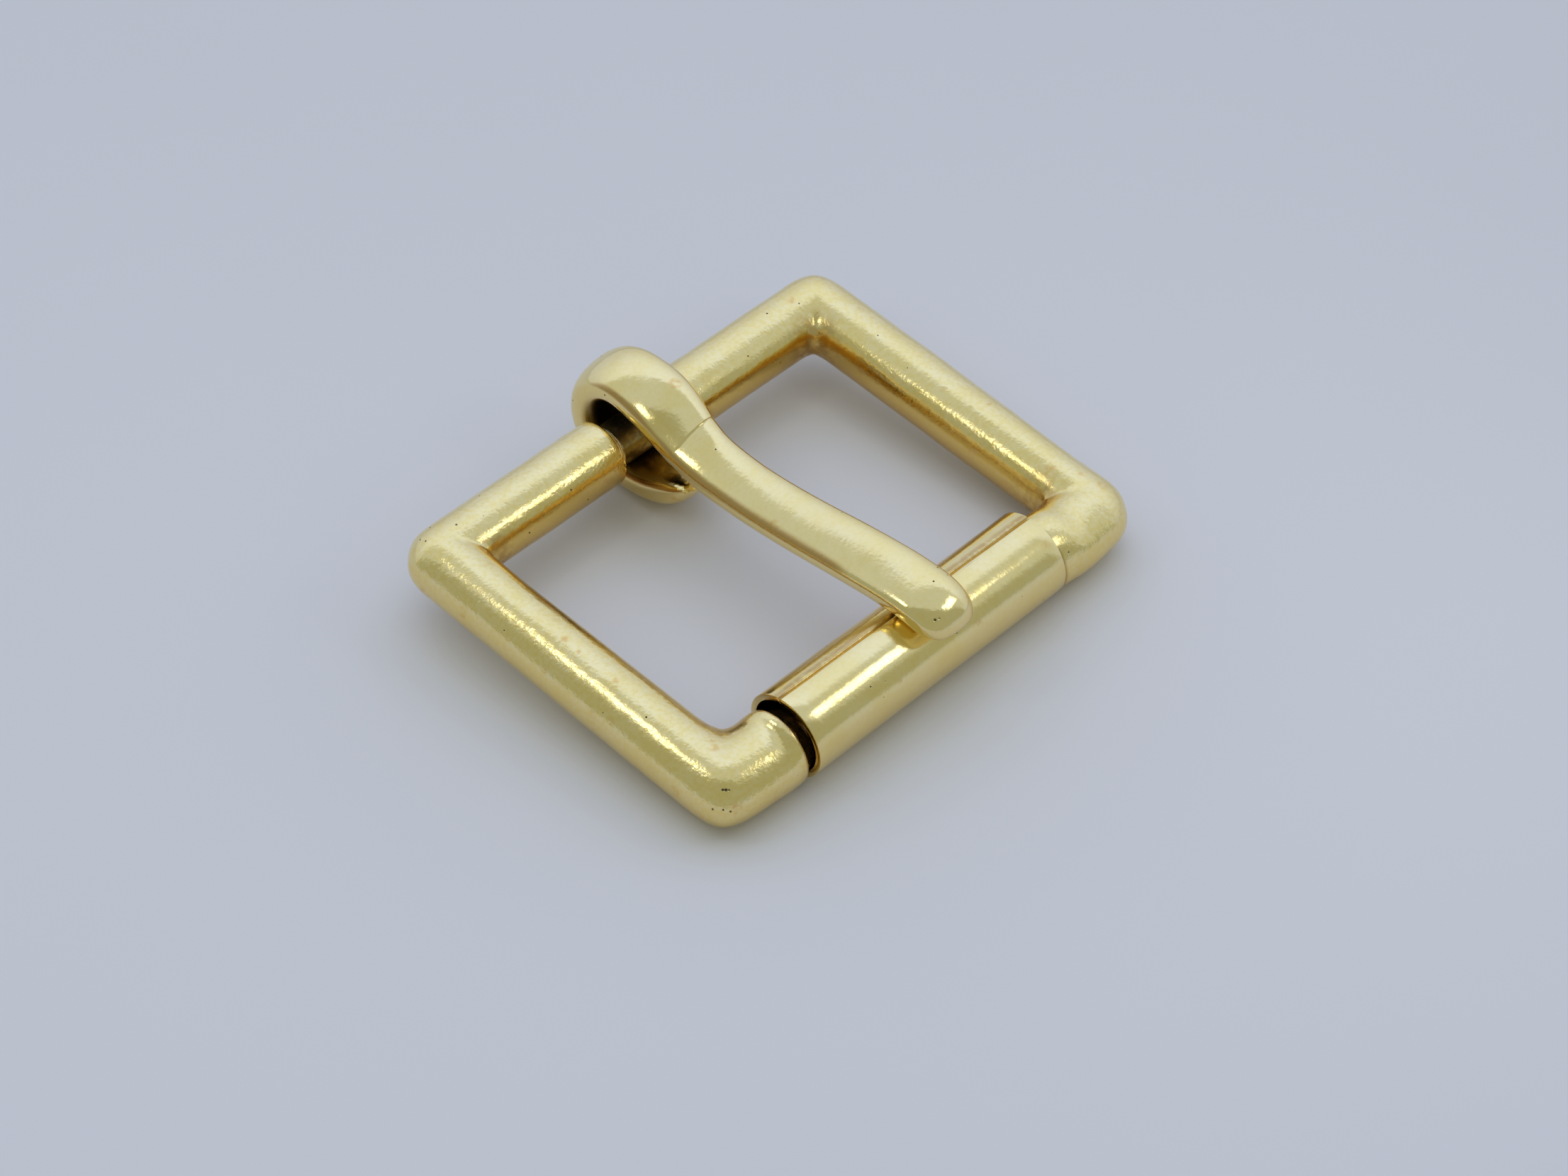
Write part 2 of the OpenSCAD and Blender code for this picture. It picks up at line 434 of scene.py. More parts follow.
# Degrees of a corner over which the outer gain of the bar beside it fades out
OUTER_FADE = 60


def smooth_section(centre, heading, reaches):
    """Section whose smoothed surface reaches so far to the inside, to the outside, up and down."""
    return Section(centre, heading, *(reach / RING_SHRINK for reach in reaches))


def corner_sections(corner, heading, row, bar_r):
    """Sections that fan out round the middle of the fillet inside a corner."""
    outer_cut, fillet, gain_before, gain_after, outer_before, outer_after = (value * MM for value in row)
    ahead = Vector((math.cos(heading), math.sin(heading), 0))
    inward = Vector((-math.sin(heading), math.cos(heading), 0))
    middle = corner + (inward - ahead) * (bar_r + fillet)
    sections = []
    for degrees in CORNER_TURNS:
        turn = math.radians(degrees)
        ray = ahead * math.sin(turn) - inward * math.cos(turn)
        lean = max(math.cos(turn), math.sin(turn))
        to_centre = (bar_r + fillet) / lean
        to_outside = (2 * bar_r + fillet) / lean
        if degrees == 45:
            to_outside -= outer_cut
        to_outside += outer_before * max(1 - degrees / OUTER_FADE, 0)
        to_outside += outer_after * max(1 - (90 - degrees) / OUTER_FADE, 0)
        gain = gain_before + (gain_after - gain_before) * degrees / 90
        reaches = (to_centre - fillet + gain, to_outside - to_centre, bar_r, bar_r)
        sections.append(smooth_section(middle + ray * to_centre, heading + turn, reaches))
    return sections


def round_section(x, y, heading, radius, inner_gain=0.0, outer_gain=0.0):
    """Section of a round bar at a place in the bars' plane."""
    reach = radius / RING_SHRINK
    return Section((x, y, 0), heading, reach + inner_gain, reach + outer_gain, reach, reach)


def roller_bar_sections(sizes, y):
    """Shoulders beside the tube, thicker on their upper side, and the thin core between them."""
    heading = 0.0
    core_r = sizes.core_d / 2

    def shoulder(face, side, row):
        back, *reaches = (value * MM for value in row)
        return smooth_section((face - side * back, y, 0), heading, reaches)

    left = [shoulder(sizes.core_left, 1, row) for row in LEFT_SHOULDER]
    right = [shoulder(sizes.core_right, -1, row) for row in reversed(RIGHT_SHOULDER)]
    places = [sizes.core_left + CORE_INSET_LEFT, 0.0]
    places += [sizes.core_right - inset for inset in CORE_INSETS_RIGHT]
    return left + [round_section(x, y, heading, core_r) for x in places] + right


# Shoulder beside the neck, with a low collar in front of its face: distance from the face in
# millimetres and its radius as a share of the bar's
NECK_SHOULDER = (
    # back, radius_share
    (0.90, 1.00),
    (0.35, 1.00),
    (0.08, 0.985),
    (0.00, 0.93),
    (-0.03, 0.85),
    (-0.10, 0.80),
    (-0.30, 0.815),
    (-0.36, 0.76),
)

# Places of the neck's sections from its shoulders, and of the plain bar's beside them
NECK_INSETS = (0.42 * MM, 0.96 * MM)
HINGE_BAR_RIGHT = (11.5 * MM, 7.5 * MM)
HINGE_BAR_LEFT = (-6.5 * MM, -11.0 * MM)


def hinge_bar_sections(sizes, y):
    """The thick bar, with the thin neck between two shoulders, drawn from right to left."""
    heading = math.pi
    bar_r = sizes.bar_d / 2

    def shoulder(face, side, row):
        back, radius_share = row
        return round_section(face + side * back * MM, y, heading, bar_r * radius_share)

    def plain(places, radius):
        return [round_section(x, y, heading, radius) for x in places]

    right = [shoulder(sizes.neck_right, 1, row) for row in NECK_SHOULDER]
    left = [shoulder(sizes.neck_left, -1, row) for row in reversed(NECK_SHOULDER)]
    places = [sizes.neck_right - inset for inset in NECK_INSETS]
    places += [sizes.neck_left + inset for inset in reversed(NECK_INSETS)]
    neck = plain(places, sizes.neck_d / 2)
    return plain(HINGE_BAR_RIGHT, bar_r) + right + neck + left + plain(HINGE_BAR_LEFT, bar_r)


class BUCKLE_OT_frame_casting(Operator):
    """Draw the cast frame as one bar round its four corners"""

    bl_idname = "buckle.frame_casting"
    bl_label = "Frame Casting"

    def execute(self, context):
        sizes = context.scene.casting_sizes
        bar_r = sizes.bar_d / 2
        half_w = (CAD_HIGH.x - CAD_LOW.x) / 2 - bar_r
        half_l = level_half_length()
        quarter = math.pi / 2

        def side_sections(x, heading, rows):
            return [
                round_section(x, y * MM, heading, bar_r, inner * MM, outer * MM) for y, inner, outer in rows
            ]

        between = (
            roller_bar_sections(sizes, -half_l),
            side_sections(half_w, quarter, RIGHT_BAR),
            hinge_bar_sections(sizes, half_l),
            side_sections(-half_w, math.pi + quarter, LEFT_BAR_FAR),
        )
        start = side_sections(-half_w, -quarter, LEFT_BAR_NEAR)
        bar = DrawnBar("frame_casting", start[0], (1, 0, 0), (0, 1, 0), "Z")
        for section in start[1:]:
            bar.draw_to(section)
        for turns, ((_, side, end, *row), straight) in enumerate(zip(CORNERS, between)):
            corner = Vector((side * half_w, end * half_l, 0))
            heading = (turns - 1) * quarter
            for section in corner_sections(corner, heading, row, bar_r) + straight:
                bar.draw_to(section)
        casting = bar.complete(bpy.ops.mesh.bridge_edge_loops, sizes)
        finish_piece(casting, "frame", "frame", cast_brass())
        return {"FINISHED"}


# Free end of the curl: angle round the eye, distance, width and thickness as shares
CURL_END = (
    # angle, distance, width, thickness
    (185, 1.86, 0.72, 0.22),
    (188, 1.78, 0.82, 0.46),
    (195, 1.64, 0.92, 0.72),
    (207, 1.43, 0.97, 0.96),
    (224, 1.21, 1.00, 1.01),
    (240, 1.09, 1.00, 1.00),
)

# Way of the loop round the eye, where its flattened top begins and over what turn it rises, and the
# loop's roll where it ends, all in degrees
EYE_FROM = 255
EYE_TO = 450
EYE_STEP = 19.5
FLAT_FROM = 330
FLAT_RISE = 60
CROWN_ROLL = 5

# Shank: way from the neck to the tube, height, sideways shift, width and thickness as shares, how
# much of the flattened top's extra height is there, the wear on the upper left as a share, and the
# roll to the left in degrees
SHANK = (
    # way, height, shift, width, thickness, flat, wear, roll
    (0.080, 0.800, 0.10, 1.24, 1.02, 1.0, 1.00, 8),
    (0.150, 0.697, 0.36, 1.16, 1.00, 1.0, 1.10, 9),
    (0.200, 0.620, 0.62, 1.10, 0.99, 1.0, 1.10, 9),
    (0.207, 0.612, 0.66, 1.09, 0.99, 1.0, 1.10, 9),
    (0.212, 0.612, 0.69, 1.08, 1.00, 0.0, 1.10, 8),
    (0.222, 0.606, 0.74, 1.07, 1.00, 0.0, 1.10, 8),
    (0.250, 0.582, 0.86, 1.05, 1.00, 0.0, 1.05, 9),
    (0.290, 0.552, 1.00, 1.02, 1.00, 0.0, 1.00, 10),
    (0.430, 0.575, 1.10, 0.99, 1.00, 0.0, 1.00, 12),
    (0.640, 0.745, 1.10, 1.02, 1.00, 0.0, 1.05, 14),
    (0.840, 0.945, 0.85, 1.07, 1.00, 0.0, 1.05, 14),
)

# Tip: angle round the tube, sideways shift, width, thickness and wear as shares
TIP = (
    # angle, shift, width, thickness, wear
    (82, 0.62, 0.98, 1.02, 1.1),
    (100, 0.58, 1.00, 1.02, 0.8),
    (112, 0.50, 0.99, 1.00, 0.5),
    (120, 0.42, 0.94, 0.94, 0.3),
    (126, 0.35, 0.82, 0.80, 0.2),
    (129, 0.31, 0.66, 0.58, 0.2),
)


def prong_sections(sizes, casting, tube):
    """Sections of the prong from the curl's free end round the eye and along the shank to the tip."""
    neck_x = (casting.neck_left + casting.neck_right) / 2
    half_l = level_half_length()
    eye = Vector((half_l + sizes.eye_back, sizes.eye_rise))
    curl_r = sizes.eye_d / 2 + sizes.thickness / 2
    tube_r = tube.outer_d / 2
    tube_middle = Vector((-half_l, tube_rise()))
    tip_z = tube_middle.y + tube_r + sizes.tip_gap + sizes.thickness / 2
    curve_grow = 3 / (2 + math.cos(math.radians(EYE_STEP)))

    def round_eye(degrees, distance):
        turn = math.radians(degrees)
        return eye + Vector((math.cos(turn), math.sin(turn))) * distance

    places = []
    for degrees, distance, width, thickness in CURL_END:
        place = round_eye(degrees, curl_r * distance)
        places.append((place, 0, sizes.loop_w * width, sizes.thickness * thickness, 0, 0, 0))
    count = round((EYE_TO - EYE_FROM) / EYE_STEP)
    for step in range(count + 1):
        degrees = EYE_FROM + EYE_STEP * step
        place = round_eye(degrees, curl_r * curve_grow)
        flat = min(max((degrees - FLAT_FROM) / FLAT_RISE, 0), 1)
        wear = max((degrees - FLAT_FROM) / (EYE_TO - FLAT_FROM), 0)
        places.append((place, 0, sizes.loop_w, sizes.thickness, flat, wear, CROWN_ROLL * wear))
    for way, height, shift, width, thickness, *worn in SHANK:
        place = Vector((half_l * (1 - 2 * way), tip_z * height))
        places.append((place, shift, sizes.shank_w * width, sizes.thickness * thickness, *worn))
    for degrees, shift, width, thickness, wear in TIP:
        turn = math.radians(degrees)
        reach = tube_r + sizes.tip_gap + sizes.thickness * thickness / 2
        place = tube_middle + Vector((math.cos(turn), math.sin(turn))) * reach
        places.append((place, shift, sizes.tip_w * width, sizes.thickness * thickness, 0, wear, 0))

    sections = []
    turned = 0.0
    for index, (place, shift, width, thickness, flat, *worn) in enumerate(places):
        before = places[max(index - 1, 0)][0]
        after = places[min(index + 1, len(places) - 1)][0]
        run = after - before
        heading = math.atan2(run.y, run.x)
        heading += 2 * math.pi * round((turned - heading) / (2 * math.pi))
        turned = heading
        half_t = thickness / 2 / SQUARE_SHRINK
        half_w = width / 2 / SQUARE_SHRINK
        centre = (neck_x + sizes.skew * shift, place.x, place.y)
        sections.append(Section(centre, heading, half_t, half_t + flat * sizes.flat, half_w, half_w, *worn))
    return sections


class BUCKLE_OT_prong(Operator):
    """Draw the prong round its eye and along to its tip"""

    bl_idname = "buckle.prong"
    bl_label = "Prong"

    def execute(self, context):
        scene = context.scene
        sections = prong_sections(scene.prong_sizes, scene.casting_sizes, scene.tube_sizes)
        bar = DrawnBar("prong", sections[0], (0, 1, 0), (0, 0, 1), "X", SQUARE_PUSH * 4)
        for section in sections[1:]:
            bar.draw_to(section)
        for number_of_ring, section in enumerate(sections):
            bar.wear_down(number_of_ring, section)
        prong = bar.complete(bpy.ops.mesh.edge_face_add, scene.prong_sizes)
        finish_piece(prong, "tongue", "tongue", prong_brass())
        return {"FINISHED"}


TUBE_SIDES = 96
TUBE_BANDS = 24


class BUCKLE_OT_rolled_tube(Operator):
    """Roll a sheet into the tube, with its seam left open"""

    bl_idname = "buckle.rolled_tube"
    bl_label = "Rolled Tube"

    def execute(self, context):
        sizes = context.scene.tube_sizes
        radius = sizes.outer_d / 2
        middle = Vector((0, -level_half_length(), tube_rise()))
        seam_half = math.asin(sizes.seam / 2 / radius)
        start_mesh()
        bpy.ops.mesh.primitive_plane_add(size=1)
        tube = context.object
        tube.name = "rolled_tube"
        bpy.ops.object.mode_set(mode="EDIT")
        bpy.ops.mesh.select_all(action="SELECT")
        bpy.ops.mesh.delete(type="ONLY_FACE")
        select_points([vertex.index for vertex in edited_mesh().verts if vertex.co.y > 0])
        bpy.ops.mesh.delete(type="VERT")
        bpy.ops.mesh.select_all(action="SELECT")
        long = sizes.right - sizes.left
        bpy.ops.transform.resize(value=(long, 1, 1))
        bpy.ops.transform.translate(
            value=((sizes.left + sizes.right) / 2, middle.y + 0.5, middle.z + radius)
        )
        bpy.ops.mesh.subdivide(number_cuts=TUBE_BANDS - 1)
        for point in selected_points():
            share = (edited_mesh().verts[point].co.x - sizes.left) / long
            turn = sizes.seam_turn + sizes.seam_skew * (0.5 - share) + seam_half
            select_points([point])
            bpy.ops.transform.rotate(
                value=turn, orient_axis="X", orient_type="GLOBAL", center_override=middle
            )
        bpy.ops.mesh.select_all(action="SELECT")
        bpy.ops.mesh.spin(
            steps=TUBE_SIDES, angle=2 * math.pi - 2 * seam_half, center=middle, axis=(1, 0, 0)
        )
        bpy.ops.mesh.select_all(action="SELECT")
        bpy.ops.mesh.normals_make_consistent(inside=False)
        bpy.ops.object.mode_set(mode="OBJECT")
        apply_modifier(tube, "SOLIDIFY", "sheet", thickness=sizes.sheet, offset=-1)
        self.round_seam(sizes.seam_edge, middle, radius)
        apply_modifier(
            tube, "BEVEL", "rims", width=sizes.rim, segments=3, limit_method="ANGLE", angle_limit=0.9
        )
        soften(tube, sizes)
        bpy.ops.object.shade_smooth_by_angle(angle=math.radians(40))
        lay_down()
        finish_piece(tube, "roller", "roller", rolled_brass())
        return {"FINISHED"}

    def round_seam(self, width, middle, radius):
        """Rounds the two outer edges along the seam, which the bending has drawn in."""
        bpy.ops.object.mode_set(mode="EDIT")
        mesh = edited_mesh()

        def on_seam(edge):
            first, second = (vertex.co - middle for vertex in edge.verts)
            outside = all(math.hypot(point.y, point.z) > radius * 0.98 for point in (first, second))
            along = abs(first.x - second.x) > radius * 0.1
            return outside and along and edge.calc_face_angle(0) > 1

        for edge in mesh.edges:
            edge.select_set(False)
        for edge in [edge for edge in mesh.edges if on_seam(edge)]:
            edge.select_set(True)
        mesh.select_flush_mode()
        bmesh.update_edit_mesh(bpy.context.object.data)
        bpy.ops.mesh.bevel(offset=width, segments=5, affect="EDGES")
        bpy.ops.object.mode_set(mode="OBJECT")


class Wire:
    """The output of a shader node, which takes part in Python sums: each operator adds its Math node."""

    def __init__(self, nodes, socket):
        self.nodes = nodes
        self.socket = socket

    def math(self, operation, *values):
        return self.nodes.node("ShaderNodeMath", {"operation": operation}, dict(enumerate(values)))

    def __add__(self, other):
        return self.math("ADD", self, other)

    def __sub__(self, other):
        return self.math("SUBTRACT", self, other)

    def __rsub__(self, other):
        return self.math("SUBTRACT", other, self)

    def __mul__(self, other):
        return self.math("MULTIPLY", self, other)

    def clamped(self):
        return self.math("MINIMUM", self.math("MAXIMUM", self, 0.0), 1.0)

    __radd__ = __add__
    __rmul__ = __mul__


class Nodes:
    """A node tree whose nodes are added one by one."""

    def __init__(self, tree):
        self.tree = tree

    def node(self, kind, settings=None, inputs=None, output=0):
        """Adds a node with its settings and its inputs, and returns one of its outputs."""
        node = self.tree.nodes.new(kind)
        for key, value in (settings or {}).items():
            setattr(node, key, value)
        for key, value in (inputs or {}).items():
            if isinstance(value, Wire):
                self.tree.links.new(value.socket, node.inputs[key])
            else:
                node.inputs[key].default_value = value
        return Wire(self, node.outputs[output])

    def vector(self, operation, *values, output=0):
        return self.node("ShaderNodeVectorMath", {"operation": operation}, dict(enumerate(values)), output)

    def dot(self, first, second):
        """How far one vector reaches along another."""
        return self.vector("DOT_PRODUCT", first, second, output="Value")

    def between(self, low, high, value):
        """Rises smoothly from 0 at low to 1 at high."""
        values = {"Value": value, "From Min": low, "From Max": high}
        return self.node("ShaderNodeMapRange", {"interpolation_type": "SMOOTHSTEP"}, values)

    def mix(self, factor, first, second):
        """Mixes two colours."""
        colours = [value if isinstance(value, Wire) else (*value, 1) for value in (first, second)]
        values = {0: factor, 6: colours[0], 7: colours[1]}
        return self.node("ShaderNodeMix", {"data_type": "RGBA"}, values, 2)


class Finish(Nodes):
    """A material, with patterns measured in millimetres on its piece."""

    def __init__(self, name, **shader):
        self.material = bpy.data.materials.new(name)
        self.material.use_nodes = True
        super().__init__(self.material.node_tree)
        self.shader = self.tree.nodes["Principled BSDF"]
        for socket, value in shader.items():
            self.shader.inputs[socket.replace("_", " ").title()].default_value = value
        place = self.node("ShaderNodeTexCoord", output="Object")
        self.place = self.node("ShaderNodeVectorMath", {"operation": "SCALE"}, {0: place, "Scale": 1 / MM})
        self.normal = self.node("ShaderNodeTexCoord", output="Normal")

    def drive(self, socket, wire):
        self.tree.links.new(wire.socket, self.shader.inputs[socket])

    def stretched(self, x, y, z):
        """Place in millimetres, stretched along the axes."""
        return self.vector("MULTIPLY", self.place, (x, y, z))

    def noise(self, per_mm, detail=2.0, place=None):
        """Soft noise with so many waves to the millimetre."""
        values = {"Vector": place or self.place, "Scale": per_mm, "Detail": detail, "Roughness": 0.5}
        return self.node("ShaderNodeTexNoise", None, values, "Fac")

    def cells(self, per_mm, place=None, output="Distance"):
        """Distance to, or a random colour of, the nearest of many scattered points."""
        values = {"Vector": place or self.place, "Scale": per_mm}
        return self.node("ShaderNodeTexVoronoi", {"feature": "F1"}, values, output)

    def near(self, place, reach):
        """Falls smoothly from 1 close to a place of the level buckle to 0 at a reach, in millimetres."""
        middle = resting() @ (Vector(place) * MM) / MM
        apart = self.vector("DISTANCE", self.place, middle, output="Value")
        return 1 - self.between(reach * 0.35, reach, apart)

    def to_line(self, y, z):
        """The way in millimetres to a line along X through a place of the level buckle, in metres."""
        middle = resting() @ Vector((0, y, z)) / MM
        return self.vector("SUBTRACT", (0, middle.y, middle.z), self.stretched(0, 1, 1))

    def long(self, way):
        """How long a vector is."""
        return self.vector("LENGTH", way, output="Value")

    def part(self, vector, axis):
        """The X, Y or Z part of a vector."""
        return self.node("ShaderNodeSeparateXYZ", None, {0: vector}, axis)

    def band(self, value, middle, full, end):
        """1 within a distance of the middle, and falling to 0 at a longer one."""
        offset = value - middle
        return 1 - self.between(full, end, offset.math("ABSOLUTE", offset))

    def bump(self, height, micrometres, below=None):
        """Lifts the surface by a height of 0 to 1 times so many micrometres."""
        values = {"Height": height, "Distance": micrometres * MM * MM, "Strength": 1.0}
        if below:
            values["Normal"] = below
        return self.node("ShaderNodeBump", None, values, "Normal")


def specks(finish, per_mm, share_left, size):
    """Scattered round specks: a random few of many cells hold one."""
    chance = finish.node(
        "ShaderNodeSeparateColor", None, {0: finish.cells(per_mm, output="Color")}, 0
    )
    chosen = finish.between(share_left, share_left + 0.02, chance)
    spot = 1 - finish.between(size * 0.5, size, finish.cells(per_mm))
    return chosen * spot


# Orange blotches and dark pits on each material's upper side, in the level buckle's millimetres
BLOTCHES = {
    "cast_brass": (
        # x, y, z, reach
        (-18.7, 1.3, 2.5, 0.42),
        (-18.8, -0.1, 2.5, 0.26),
        (-18.7, -3.7, 2.5, 0.38),
        (-17.5, -11.7, 2.4, 0.45),
        (18.8, -12.2, 2.5, 0.30),
        (16.6, -13.8, 2.6, 0.26),
    ),
    "prong_brass": ((-0.3, 7.3, 4.9, 0.55), (-0.4, 12.1, 5.9, 0.35)),
    "rolled_brass": ((10.6, -17.3, 0.4, 0.26), (9.8, -17.1, 0.2, 0.30), (-4.6, -16.9, 2.5, 0.35)),
}
PITS = {
    "cast_brass": (
        # x, y, z, reach
        (-20.65, -15.10, 0.75, 0.13),
        (-20.45, -15.45, 0.65, 0.11),
        (-20.15, -15.85, 0.55, 0.13),
        (-20.55, -15.25, 0.40, 0.10),
        (-20.30, -15.70, 0.90, 0.10),
        (-19.95, -16.05, 0.75, 0.11),
        (-19.75, -15.05, 1.95, 0.15),
        (-19.60, -15.20, 1.95, 0.17),
        (-19.45, -15.35, 1.95, 0.13),
        (-17.00, 14.10, 2.50, 0.14),
    ),
    "prong_brass": ((-1.2, -16.5, 5.9, 0.16), (-0.9, -16.6, 5.9, 0.14)),
    "rolled_brass": ((9.4, -16.9, 0.9, 0.12),),
}


def marks(finish, places):
    """Marks at chosen places, each fading towards its edge."""
    found = finish.near(places[0][:3], places[0][3])
    for x, y, z, reach in places[1:]:
        found = found + finish.near((x, y, z), reach)
    return found.clamped()


# A fixed way, how squarely a side faces it where it is left clear, where the painted amber begins,
# where it is still full and where it has thinned to a share, and its share on the undersides. The amber
# is painted reflection and shade, standing in for the brownish reflection of shaded brass on these sides
CLEAR_WAY = (-0.25, -0.24, 0.937)
FACING_CLEAR = 0.68
FACING_AMBER = 0.60
FACING_FULL = 0.56
FACING_THIN = 0.42
THIN_AMBER = 0.45
UNDERSIDE_AMBER = 0.25


def amber_shading(finish, inside):
    """Painted amber reflection and shade on the inner sides that lean away from a fixed way and on the
    undersides, strongest where it begins.
    """
    facing = finish.dot(finish.normal, CLEAR_WAY)
    amber_side = 1 - finish.between(FACING_AMBER, FACING_CLEAR, facing)
    depth = THIN_AMBER + (1 - THIN_AMBER) * finish.between(FACING_THIN, FACING_FULL, facing)
    low = 1 - finish.between(0.2, 0.5, finish.part(finish.normal, "Z"))
    shading = amber_side * depth * finish.between(0.2, 0.6, inside(finish)) + UNDERSIDE_AMBER * low
    return shading.clamped() * (0.8 + 0.4 * finish.noise(2.6, 3.0))


def polished_brass(name, roughness, grain, speckle, inside, brown, dark, brush=None):
    """Polished brass with soft colour changes, orange specks, painted amber, brown and dark shade and
    reflection, pits and a grain.
    """
    colours = settings().brass_colours
    finish = Finish(name, metallic=1.0)
    clouds = finish.between(0.35, 0.68, finish.noise(0.35, 3.0)) * 0.6
    mottle = finish.between(0.42, 0.64, finish.noise(3.0, 3.0)) * speckle
    tone = finish.mix((clouds + mottle).clamped(), colours.light, colours.deep)
    # Painted amber reflection and shade on the lower inner sides and undersides
    tone = finish.mix(amber_shading(finish, inside).clamped(), tone, colours.amber)
    spots = specks(finish, 0.62, 0.86, 0.38) + marks(finish, BLOTCHES[name])
    tarnish = spots.clamped() * finish.between(0.35, 0.65, finish.noise(2.2, 3.0))
    tone = finish.mix(tarnish * 0.75, tone, colours.tarnish)
    rough = finish.noise(1.2, 4.0) * 0.08 + (roughness - 0.04) + tarnish * 0.12
    # Painted brown shade and reflection
    painted_brown = brown(finish).clamped()
    tone = finish.mix(painted_brown, tone, colours.brown_shade)
    # Painted dark shade and shadow
    shading = (dark(finish) * (0.7 + 0.6 * finish.noise(2.4, 4.0))).clamped()
    tone = finish.mix(shading, tone, colours.dark_shade)
    rough = rough + painted_brown * 0.14 + shading * 0.16
    pits = (specks(finish, 1.6, 0.95, 0.15) + marks(finish, PITS[name])).clamped()
    tone = finish.mix(pits, tone, colours.pit)
    finish.drive("Base Color", tone)
    finish.drive("Roughness", rough + pits * 0.3)
    peel = finish.bump(finish.noise(1.8, 1.0), grain * 1.2)
    peel = finish.bump(finish.noise(4.2, 2.0), grain, peel)
    peel = finish.bump(finish.noise(8.0, 2.0), grain * 0.3, peel)
    peel = finish.bump(1 - pits, 25.0, peel)
    if brush:
        streaks = finish.noise(1.0, 2.0, finish.stretched(*brush))
        peel = finish.bump(streaks, 2.0, peel)
    finish.drive("Normal", peel)
    return finish.material


# Places of brown painted shade in the casting's inner corners and beside the neck, in the level buckle's
# millimetres
BROWN_SHADE_PLACES = (
    # x, y, z, reach
    (-15.6, -11.0, 1.0, 2.6),
    (15.8, -11.0, 0.5, 3.2),
    (15.8, 11.2, 0.5, 3.0),
    (-15.8, 11.2, 0.5, 2.8),
    (4.0, 12.0, 0.0, 2.2),
)


# Rough distance of the bars from the frame's middle, in millimetres
BAR_DISTANCE = 14


def casting_inside(finish):
    """How much the casting's surface faces the window that it frames."""
    return finish.dot(finish.stretched(1, 1, 0), finish.normal) * (-1 / BAR_DISTANCE)


def prong_inside(finish):
    """How much the prong's surface faces to the right."""
    return finish.part(finish.normal, "X")


def tube_inside(finish):
    """How much the tube's surface faces the window."""
    return finish.part(finish.normal, "Y")


def along_bar(finish, left, right, full_inset, end_inset):
    """1 between two places along X, and falling to 0 from one inset to the other, in millimetres."""
    middle = (left + right) / 2 / MM
    half = (right - left) / 2 / MM
    return finish.band(finish.part(finish.place, "X"), middle, half - full_inset, half - end_inset)


def core_length(finish):
    """1 along the thin core, between the two shoulders beside the tube."""
    sizes = settings().casting_sizes
    return along_bar(finish, sizes.core_left, sizes.core_right, 0.2, 0.0) * tube_side(finish)


def tube_side(finish):
    """1 on the bar that carries the tube."""
    return 1 - finish.between(-10.0, -9.0, finish.part(finish.place, "Y"))


def casting_brown_shading(finish):
    """Brown painted shade in the inner corners, on the shoulders' rims beside the tube and on the core, and
    low on the inner sides.
    """
    sizes = settings().casting_sizes
    patches = marks(finish, BROWN_SHADE_PLACES) * finish.between(0.34, 0.62, finish.noise(1.3, 4.0))
    inward = finish.between(0.35, 0.9, casting_inside(finish))
    low = 1 - finish.between(-0.35, 0.45, finish.part(finish.normal, "Z"))
    x = finish.part(finish.place, "X")
    rims = finish.band(x, sizes.core_left / MM - 0.12, 0.08, 0.26)
    rims = rims + finish.band(x, sizes.core_right / MM + 0.15, 0.25, 0.55)
    core = core_length(finish) * finish.between(0.25, 0.6, finish.noise(1.8, 3.0))
    return patches * 0.5 + inward * low * 0.42 + rims * tube_side(finish) * 0.75 + core


def casting_dark_shading(finish):
    """Dark painted shadow on the neck under the prong's loop, and a little painted shade on the core inside
    the tube.
    """
    sizes = settings().casting_sizes
    neck_length = along_bar(finish, sizes.neck_left, sizes.neck_right, 0.7, 0.2)
    hinge_side = finish.between(9.0, 10.0, finish.part(finish.place, "Y"))
    return neck_length * hinge_side * 0.75 + core_length(finish) * 0.12


def eye_way(finish):
    """The way in millimetres to the middle line of the prong's eye."""
    sizes = settings().prong_sizes
    return finish.to_line(level_half_length() + sizes.eye_back, sizes.eye_rise)


def prong_shading_and_reflection(finish):
    """Brown painted shade inside the prong's eye and curl, and a painted reflection in a line along its left
    shoulder.
    """
    way = eye_way(finish)
    facing = finish.between(0.8, 2.4, finish.dot(way, finish.normal))
    inside = facing * (1 - finish.between(3.6, 5.4, finish.long(way)))
    line = finish.between(0.95, 0.99, finish.dot(finish.normal, (-0.82, 0, 0.57)))
    along = finish.between(-11.0, -9.0, finish.part(finish.place, "Y"))
    return inside * 0.35 + line * along * finish.between(2.0, 3.0, finish.long(way)) * 0.75


def eye_dark_shading(finish):
    """Dark painted shade deep inside the prong's eye, round the neck."""
    way = eye_way(finish)
    facing = finish.between(1.2, 2.2, finish.dot(way, finish.normal))
    return facing * (1 - finish.between(2.4, 3.2, finish.long(way)))


def behind_seam(finish):
    """Distance in millimetres by which the tube's upper surface lies behind its open seam."""
    sizes = settings().tube_sizes
    way = finish.to_line(-level_half_length(), tube_rise())
    backward = Vector((0, math.cos(sizes.seam_turn), -math.sin(sizes.seam_turn)))
    across = finish.dot(way, resting().to_3x3() @ -backward)
    middle = (sizes.left + sizes.right) / 2 / MM
    slant = sizes.outer_d / 2 * sizes.seam_skew / (sizes.right - sizes.left)
    return across + (finish.part(finish.place, "X") - middle) * slant


